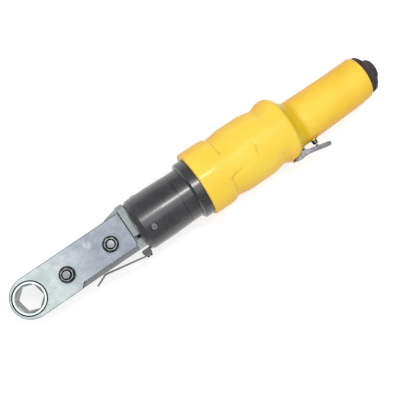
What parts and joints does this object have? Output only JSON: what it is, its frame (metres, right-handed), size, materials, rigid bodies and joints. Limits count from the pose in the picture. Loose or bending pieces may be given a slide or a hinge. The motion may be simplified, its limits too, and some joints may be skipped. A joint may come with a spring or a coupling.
{
  "type": "pneumatic ratchet wrench",
  "caption": "Straight air ratchet wrench with a closed through-hexagon ratchet head, black gear housing, yellow motor body and grip, side throttle lever and rear air inlet.",
  "frame": {"origin": "centre of the through-hexagon socket, half way through the head's thickness", "axes": "+X along the tool to the air inlet, +Z along the socket's axis out of the face with the clamp nuts, +Y away from the side with the throttle lever"},
  "size_m": [0.4355, 0.0785, 0.0712],
  "materials": {
    "plate_steel": "ground plate steel, fine grain",
    "body_steel": "satin forged steel",
    "ring_steel": "hardened alloy steel, bright bevel",
    "bolt_steel": "zinc plated steel",
    "tool_steel": "hardened tool steel, oiled",
    "spring_steel": "blued spring steel",
    "bearing_steel": "polished bearing steel",
    "gear_steel": "case hardened steel, greased",
    "bronze": "oil filled bronze",
    "black_metal": "black oxide, satin",
    "motor_steel": "honed steel",
    "motor_iron": "ground iron",
    "rotor_aluminium": "turned",
    "vane": "laminated phenolic",
    "yellow_cover": "moulded, glossy",
    "core_aluminium": "machined",
    "lever_steel": "worn pressed steel",
    "dark_rubber": "dull black-brown",
    "black_knob": "blackened steel",
    "felt": "pressed felt",
    "brass": "wire mesh"
  },
  "bodies": {
    "housing": {"head_body": "body_steel", "top_cover_plate": "plate_steel", "bottom_cover_plate": "plate_steel", "clamp_bolts": "bolt_steel", "clamp_nuts": "bolt_steel", "clamp_washers": "black_metal", "holding_lever_pin": "bolt_steel", "leaf_spring_bracket": "bolt_steel", "gear_housing": "black_metal", "head_set_screws": "bolt_steel", "coupling_collar": "black_metal", "crank_bearing_outer_race": "bearing_steel", "crank_bearing_balls": "bearing_steel", "front_rotor_bearing_outer_race": "bearing_steel", "front_rotor_bearing_balls": "bearing_steel", "rear_rotor_bearing_outer_race": "bearing_steel", "rear_rotor_bearing_balls": "bearing_steel", "ring_gear": "gear_steel", "motor_cylinder": "motor_steel", "front_end_plate": "motor_iron", "rear_end_plate": "motor_iron", "motor_casing": "motor_steel", "motor_cover": "yellow_cover", "handle_core": "core_aluminium", "handle_sleeve": "yellow_cover", "end_cap": "dark_rubber", "exhaust_muffler": "felt", "inlet_bushing": "black_knob", "inlet_screen": "brass", "lever_pin": "bolt_steel", "valve_seat": "brass", "valve_bushing": "brass", "valve_o_ring": "dark_rubber", "valve_spring": "spring_steel", "valve_plug": "brass"},
    "ratchet_ring": {"ratchet_ring": "ring_steel"},
    "rocker": {"rocker": "tool_steel", "drive_pawl_pin": "tool_steel", "drive_pawl_spring": "spring_steel"},
    "drive_pawl": {"drive_pawl": "tool_steel"},
    "holding_lever": {"holding_lever": "tool_steel"},
    "leaf_spring": {"leaf_spring": "spring_steel", "leaf_spring_screw": "bolt_steel"},
    "crankshaft": {"crankshaft": "gear_steel", "drive_bushing": "bronze", "crank_bearing_inner_race": "bearing_steel", "planet_pins": "gear_steel", "carrier_plate": "gear_steel"},
    "planet_1": {"planet_gear_1": "gear_steel"},
    "planet_2": {"planet_gear_2": "gear_steel"},
    "planet_3": {"planet_gear_3": "gear_steel"},
    "rotor": {"rotor_shaft": "gear_steel", "rotor": "rotor_aluminium", "rotor_vanes": "vane", "front_rotor_bearing_inner_race": "bearing_steel", "rear_rotor_bearing_inner_race": "bearing_steel"},
    "throttle_lever": {"throttle_lever": "lever_steel"},
    "throttle_valve": {"valve_plunger": "bolt_steel", "valve_ball": "bearing_steel"}
  },
  "joints": [
    {"name": "ring_turn", "type": "hinge", "parent": "housing", "child": "ratchet_ring", "pos_m": [0, 0, 0], "axis": [0, 0, 1], "continuous": true},
    {"name": "rocker_swing", "type": "hinge", "parent": "housing", "child": "rocker", "pos_m": [0, 0, 0], "axis": [0, 0, 1], "range_deg": [0, 5.36]},
    {"name": "pawl_lift", "type": "hinge", "parent": "rocker", "child": "drive_pawl", "pos_m": [0.019, 0.0115, 0], "axis": [0, 0, 1], "range_deg": [0, 7], "deforming": ["drive_pawl_spring"]},
    {"name": "holding_lever_lift", "type": "hinge", "parent": "housing", "child": "holding_lever", "pos_m": [0.1155, -0.0185, 0], "axis": [0, 0, 1], "range_deg": [0, 0.8], "stiffness_Nm_per_rad": 4, "springref_deg": -11.46},
    {"name": "leaf_spring_flex", "type": "hinge", "parent": "housing", "child": "leaf_spring", "pos_m": [0.1209, -0.0291, 0], "axis": [0, 0, 1], "range_deg": [0, 0.8]},
    {"name": "crank_spin", "type": "hinge", "parent": "housing", "child": "crankshaft", "pos_m": [0.14, 0, 0], "axis": [1, 0, 0], "continuous": true},
    {"name": "planet_1_spin", "type": "hinge", "parent": "crankshaft", "child": "planet_1", "pos_m": [0.1636, 0, 0.01275], "axis": [1, 0, 0], "continuous": true},
    {"name": "planet_2_spin", "type": "hinge", "parent": "crankshaft", "child": "planet_2", "pos_m": [0.1636, -0.01104, -0.00637], "axis": [1, 0, 0], "continuous": true},
    {"name": "planet_3_spin", "type": "hinge", "parent": "crankshaft", "child": "planet_3", "pos_m": [0.1636, 0.01104, -0.00637], "axis": [1, 0, 0], "continuous": true},
    {"name": "rotor_spin", "type": "hinge", "parent": "housing", "child": "rotor", "pos_m": [0.232, 0, 0], "axis": [1, 0, 0], "continuous": true},
    {"name": "throttle_press", "type": "hinge", "parent": "housing", "child": "throttle_lever", "pos_m": [0.305, -0.0288, 0], "axis": [0, 0, 1], "range_deg": [0, 12], "stiffness_Nm_per_rad": 0.5, "springref_deg": -17.19},
    {"name": "valve_slide", "type": "slide", "parent": "housing", "child": "throttle_valve", "axis": [0, 1, 0], "range_m": [0, 0.0035], "deforming": ["valve_spring"]}
  ],
  "couplings": [
    {"joint": "pawl_lift", "follows": "rocker_swing", "ratio": 1.25},
    {"joint": "leaf_spring_flex", "follows": "holding_lever_lift", "ratio": 0.95},
    {"joint": "crank_spin", "follows": "rotor_spin", "ratio": 0.2},
    {"joint": "planet_1_spin", "follows": "rotor_spin", "ratio": -0.53333},
    {"joint": "planet_2_spin", "follows": "rotor_spin", "ratio": -0.53333},
    {"joint": "planet_3_spin", "follows": "rotor_spin", "ratio": -0.53333},
    {"joint": "valve_slide", "follows": "throttle_press", "m_per_rad": 0.0165}
  ]
}
